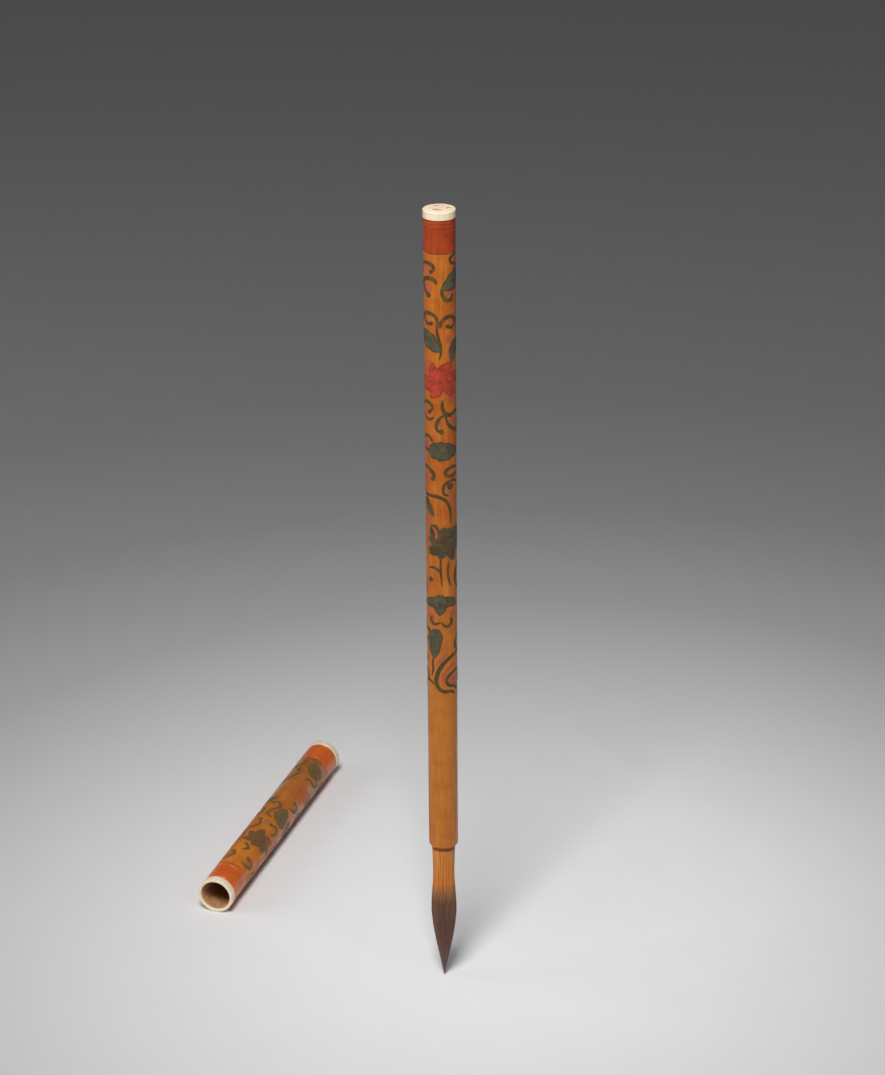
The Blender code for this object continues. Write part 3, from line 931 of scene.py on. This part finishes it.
def tuft_outline(height):
    """The hair's outline, the same as the frame's: a slight waist, a belly, then a long point."""
    belly_height = 23.9 * MM
    belly_radius = 3.77 * MM
    waist_height = 37.5 * MM
    waist_radius = 3.19 * MM
    neck_radius = 3.51 * MM
    if height >= waist_height:
        share = min(1.0, (height - waist_height) / (NECK.z - waist_height))
        return waist_radius + (neck_radius - waist_radius) * share
    if height >= belly_height:
        share = (height - belly_height) / (waist_height - belly_height)
        return waist_radius + (belly_radius - waist_radius) * 0.5 * (1 + math.cos(math.pi * share))
    share = max(0.0, height) / belly_height
    return belly_radius * (1 - (1 - share) ** 1.5) ** 1.12


def ridges(angle, height):
    """Lengthwise locks of hair as a share of the radius; they drift slowly with height."""
    turn = math.radians(angle)
    drift = 14.0 * height
    waves = math.sin(17 * turn + 2.0 * math.sin(drift))
    waves += 0.7 * math.sin(29 * turn + 1.7 - 3.0 * drift)
    waves += 0.5 * math.sin(43 * turn + 0.4 + 5.0 * drift)
    return 0.010 * waves


def blend_tuft(piece):
    """Bakes the piece's transform into its mesh."""
    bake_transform(piece)


def make_tuft(finishes):
    """The covering hair with its heart as one ridged bundle, and the separate hairs that lie on it."""
    sides = 160
    rows = 60
    top = NECK.z + 2.6 * MM
    work = bmesh.new()
    rings = [[work.verts.new((0.0, 0.0, 0.1 * MM))] * sides]
    for row in range(1, rows + 1):
        height = top * (row / rows) ** 1.15
        radius = 0.965 * tuft_outline(height)
        ring = []
        for side in range(sides):
            angle = 360.0 * side / sides
            share = 1 + ridges(angle, height) * min(1.0, height / (6 * MM))
            ring.append(work.verts.new(brush_point(angle, radius * share, height)))
        rings.append(ring)
    rings.append([work.verts.new((0.0, 0.0, top + 0.3 * MM))] * sides)
    for low, high in zip(rings, rings[1:]):
        join_rings(work, low, high)
    body = finished(work, "tuft_hair_bundle", finishes["hair_body"], 70.0)
    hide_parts("covering_hair", "heart_hair")
    blend_tuft(body)

    rng = random.Random(HAIR_SEED)
    work = bmesh.new()
    for _ in range(HAIRS):
        add_hair(work, rng)
    hairs = finished(work, "tuft_hairs", finishes["hair"], 180.0)
    blend_tuft(hairs)


def add_tube(work, rings):
    """A closed tube through rings of vertices."""
    work.faces.new(rings[0])
    for low, high in zip(rings, rings[1:]):
        join_rings(work, low, high)
    work.faces.new(reversed(rings[-1]))


def add_hair(work, rng):
    """One thin three-sided hair from inside the socket down the tuft's outside towards the point."""
    angle = rng.uniform(0.0, 360.0)
    drift = rng.gauss(0.0, 5.0)
    wave = rng.uniform(0.0, 6.3)
    depth = 1.0 - abs(rng.gauss(0.0, 0.018))
    stray = rng.random() < 0.05
    lowest = abs(rng.gauss(0.0, 6.5)) * MM
    thickness = rng.uniform(0.035, 0.062) * MM
    top = NECK.z + 1.6 * MM
    steps = 16
    rings = []
    for step in range(steps + 1):
        t = step / steps
        height = top + (lowest - top) * t
        radius = tuft_outline(height) * depth
        if stray:
            radius += 0.16 * MM * math.sin(math.pi * t) ** 2
        turn = angle + drift * t + 1.6 * math.sin(5.0 * t + wave)
        thin = thickness * (1.0 - 0.75 * t**2)
        centre = brush_point(turn, max(radius, 0.02 * MM), height)
        outward = brush_point(turn, 1.0, 0.0)
        around = brush_point(turn + 90.0, 1.0, 0.0)
        corners = (outward, around * 0.87 - outward * 0.5, -(around * 0.87 + outward * 0.5))
        rings.append([work.verts.new(centre + corner * thin) for corner in corners])
    add_tube(work, rings)


def make_binding(finishes):
    """Thread wound round the root of the hair, just below the barrel."""
    turns = 2
    sides = 8
    per_turn = 64
    thick = 0.09 * MM
    radius = BINDING_HIGH.x - thick
    foot = BINDING_LOW.z + thick
    rise = (BINDING_HIGH.z - BINDING_LOW.z - 2 * thick) / turns
    work = bmesh.new()
    rings = []
    for step in range(turns * per_turn + 1):
        angle = 360.0 * step / per_turn
        middle = foot + rise * step / per_turn
        ring = []
        for side in range(sides):
            lean = 2 * math.pi * side / sides
            across = radius + thick * math.cos(lean)
            ring.append(work.verts.new(brush_point(angle, across, middle + thick * math.sin(lean))))
        rings.append(ring)
    add_tube(work, rings)
    piece = finished(work, "wound_thread", finishes["thread"], 60.0)
    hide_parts("neck_binding")
    blend_tuft(piece)


# ---- the cap ----

CAP_EDGE = 0.34 * MM
REBATE_RADIUS = 5.22 * MM
RING_RADIUS = 0.5 * (RING_HIGH.x - RING_LOW.x)
RING_END = RING_HIGH.y - CAP_MOUTH
CORE_END = CAP_CORE_HIGH.y - CAP_MOUTH


def cap_part(name, profile, material, slot, node):
    place(turned(name, profile, material, cap_point), "cap", slot, node)


def make_cap_tube(finishes):
    """The bored cane tube, rebated at the mouth for the ivory ring."""
    start = CAP_CORE_LOW.y - CAP_MOUTH
    radius = 0.5 * (CAP_CORE_HIGH.x - CAP_CORE_LOW.x)
    profile = [
        (CORE_BORE + 0.15 * MM, start),
        (REBATE_RADIUS, start),
        (REBATE_RADIUS, RING_END + 0.2 * MM),
        (radius, RING_END + 0.2 * MM),
        (radius, CORE_END),
        (CORE_BORE, CORE_END),
        *line((CORE_BORE, CORE_END - 1 * MM), (CORE_BORE, start + 0.15 * MM), 3 * MM),
    ]
    cap_part("cap_tube", profile, finishes["cap_cane"], "cane", "cap_core")


def make_cap_ring(finishes):
    """The ivory ring around the mouth, rounded inside and out."""
    lip = 0.8 * MM
    bead = 0.22 * MM
    profile = [
        (RING_BORE, lip),
        (RING_BORE, bead),
        *arc((RING_BORE + bead, bead), bead, -180, -90, 5),
        *arc((RING_RADIUS - CAP_EDGE, CAP_EDGE), CAP_EDGE, -90, 0, 7),
        (RING_RADIUS, RING_END - 0.12 * MM),
        (RING_RADIUS - 0.12 * MM, RING_END),
        (REBATE_RADIUS + 0.1 * MM, RING_END),
        (REBATE_RADIUS + 0.1 * MM, lip),
    ]
    cap_part("cap_ivory_ring", profile, finishes["cap_ivory"], "ivory", "cap_mouth_ring")


def make_cap_coat(name, box, material, slot, node, grooves=()):
    """One lacquer coat of the cap, with fine grooves at the given millimetres from its start."""
    low, high = box
    start = low.y - CAP_MOUTH
    end = high.y - CAP_MOUTH
    inner = CAP_RADIUS - COAT
    shy = CAP_RADIUS - 0.04 * MM
    profile = [(inner, start), (shy, start), (CAP_RADIUS, start + 0.06 * MM)]
    for along in grooves:
        profile += groove(CAP_RADIUS, start + along * MM, 0.06 * MM, 0.34 * MM)
    profile += [(CAP_RADIUS, end - 0.06 * MM), (shy, end), (inner, end)]
    cap_part(name, profile, material, slot, node)


def make_cap_plug(finishes):
    """The ivory plug that closes the cap, with a fine turned ring in its face."""
    start = PLUG_LOW.y - CAP_MOUTH
    end = PLUG_HIGH.y - CAP_MOUTH
    shoulder = CORE_END + 0.2 * MM
    spigot = CORE_BORE - 0.1 * MM
    profile = [
        (0.0, start),
        (spigot - 0.2 * MM, start),
        (spigot, start + 0.2 * MM),
        (spigot, shoulder),
        (RING_RADIUS - 0.12 * MM, shoulder),
        (RING_RADIUS, shoulder + 0.12 * MM),
        *arc((RING_RADIUS - CAP_EDGE, end - CAP_EDGE), CAP_EDGE, 0, 90, 7),
        (RING_RADIUS - 1.3 * MM, end),
        (RING_RADIUS - 1.45 * MM, end - 0.06 * MM),
        (RING_RADIUS - 1.6 * MM, end),
        (0.0, end),
    ]
    cap_part("cap_ivory_plug", profile, finishes["cap_ivory"], "ivory", "cap_end_plug")


def make_cap(finishes):
    red = finishes["cap_band"]
    ground = finishes["cap_ground"]
    make_cap_tube(finishes)
    make_cap_ring(finishes)
    make_cap_coat("cap_mouth_red", MOUTH_BAND, red, "red_lacquer", "cap_mouth_band", (0.5, 8.2))
    make_cap_coat("cap_painted_coat", CAP_PAINT, ground, "painted_lacquer", "cap_painted_lacquer")
    make_cap_coat("cap_end_red", END_BAND, red, "red_lacquer", "cap_end_band", (0.6, 9.4))
    make_cap_plug(finishes)


def finish_hidden_nodes(finishes):
    """The CAD pieces that stay: the cane core, the glued hair root and its resin."""
    kept = {"barrel_core": "cane", "hair_root": "hair_body", "root_resin": "resin"}
    for node, finish in kept.items():
        thing = frame["nodes"][node]
        thing.data.materials.clear()
        thing.data.materials.append(finishes[finish])


# ---- floor, light, camera ----

# Pairs of a distance in metres from the floor's palest point and the floor's grey there: a painted pool of
# light whose grey falls off with distance, as painted shade.
FLOOR_NEAR = ((0.055, 0.86), (0.08, 0.83), (0.11, 0.76), (0.162, 0.63))
FLOOR_FAR = ((0.23, 0.46), (0.33, 0.34), (0.465, 0.30), (1.3, 0.38))
FLOOR_REACH = 1.4
FLOOR_SIZE = 12.0
LIGHT_POOL_CENTRE = (0.0083, 0.0657, 0.0)

# Every lamp's place and target in metres, its width, its watts and its colour.
LAMPS = {
    "key_light": ((0.05, -0.45, 0.80), (0.0, 0.0, 0.05), 0.30, 7.2, (1.0, 0.985, 0.96)),
    "left_fill": ((-0.90, -0.30, 0.45), (0.0, 0.0, 0.12), 0.60, 2.0, (1.0, 0.99, 0.98)),
    "right_fill": ((0.80, -0.50, 0.60), (0.0, 0.0, 0.12), 0.60, 0.7, (0.97, 0.98, 1.0)),
}
WORLD_COLOUR = (0.80, 0.82, 0.86, 1.0)
WORLD_STRENGTH = 0.12


def make_floor():
    """Pale paper with a painted pool of light: palest behind and to the right of the brush, and painted
    greyer away from there, as painted shade.
    """
    bpy.ops.mesh.primitive_plane_add(size=FLOOR_SIZE, location=LIGHT_POOL_CENTRE)
    floor = bpy.context.object
    floor.name = "studio_floor"
    made = Shader("studio_paper", Specular_IOR_Level=0.2, Roughness=0.75)
    reach = made.node("ShaderNodeVectorMath", operation="LENGTH")
    made.link(made.where(), reach.inputs[0])
    painted_light_greys = [(place / FLOOR_REACH, (grey, grey, 1.02 * grey)) for place, grey in FLOOR_NEAR + FLOOR_FAR]
    # Painted light: the floor's grey falls with distance from the centre of the painted pool of light.
    tone = made.ramp(made.levels(reach.outputs["Value"], 0.0, FLOOR_REACH), painted_light_greys)
    fibres = made.levels(made.noise(60.0, 3.0), 0.3, 0.7, 0.0, 0.04)
    made.colour(made.mix(fibres, tone, (0.5, 0.5, 0.5)))
    floor.data.materials.append(made.material)


def make_light():
    for name, (location, target, size, energy, colour) in LAMPS.items():
        lamp = bpy.data.lights.new(name, "AREA")
        lamp.shape = "DISK"
        lamp.size = size
        lamp.energy = energy
        lamp.color = colour
        thing = added(name, lamp)
        thing.location = location
        thing.rotation_euler = (Vector(target) - Vector(location)).to_track_quat("-Z", "Y").to_euler()
    world = bpy.data.worlds.new("studio_world")
    world.use_nodes = True
    background = world.node_tree.nodes["Background"]
    background.inputs["Color"].default_value = WORLD_COLOUR
    background.inputs["Strength"].default_value = WORLD_STRENGTH
    bpy.context.scene.world = world


def make_camera():
    azimuth = math.radians(VIEW_AZIMUTH)
    elevation = math.radians(VIEW_ELEVATION)
    level = math.cos(elevation)
    back = Vector((math.sin(azimuth) * level, -math.cos(azimuth) * level, math.sin(elevation)))
    lens = bpy.data.cameras.new("studio_camera")
    lens.lens = LENS_MM
    lens.sensor_width = SENSOR_MM
    lens.clip_start = 0.01
    camera = added("studio_camera", lens)
    camera.location = VIEW_TARGET + back * VIEW_DISTANCE
    straight = back.to_track_quat("Z", "Y").to_matrix()
    roll = Matrix.Rotation(math.radians(VIEW_ROLL), 3, "Z")
    camera.rotation_euler = (straight @ roll).to_euler()
    bpy.context.scene.camera = camera


def main():
    bpy.context.scene.view_settings.view_transform = "Standard"
    make_camera()
    finishes = make_materials()
    finish_hidden_nodes(finishes)
    make_grip(finishes)
    make_painted_coat(finishes)
    make_red_band(finishes)
    make_ivory_top(finishes)
    make_binding(finishes)
    make_tuft(finishes)
    make_cap(finishes)
    foot = (PAINT_LOW.z, PAINT_FOOT_RADIUS)
    top = (PAINT_HIGH.z, PAINT_HIGH.x)
    make_scroll("brush", brush_scroll, Skin(brush_point, BRUSH_FACING, foot, top), finishes)
    near, far = [(corner.y - CAP_MOUTH, CAP_RADIUS) for corner in CAP_PAINT]
    make_scroll("cap", cap_scroll, Skin(cap_point, CAP_FACING, near, far), finishes)
    make_floor()
    make_light()


main()
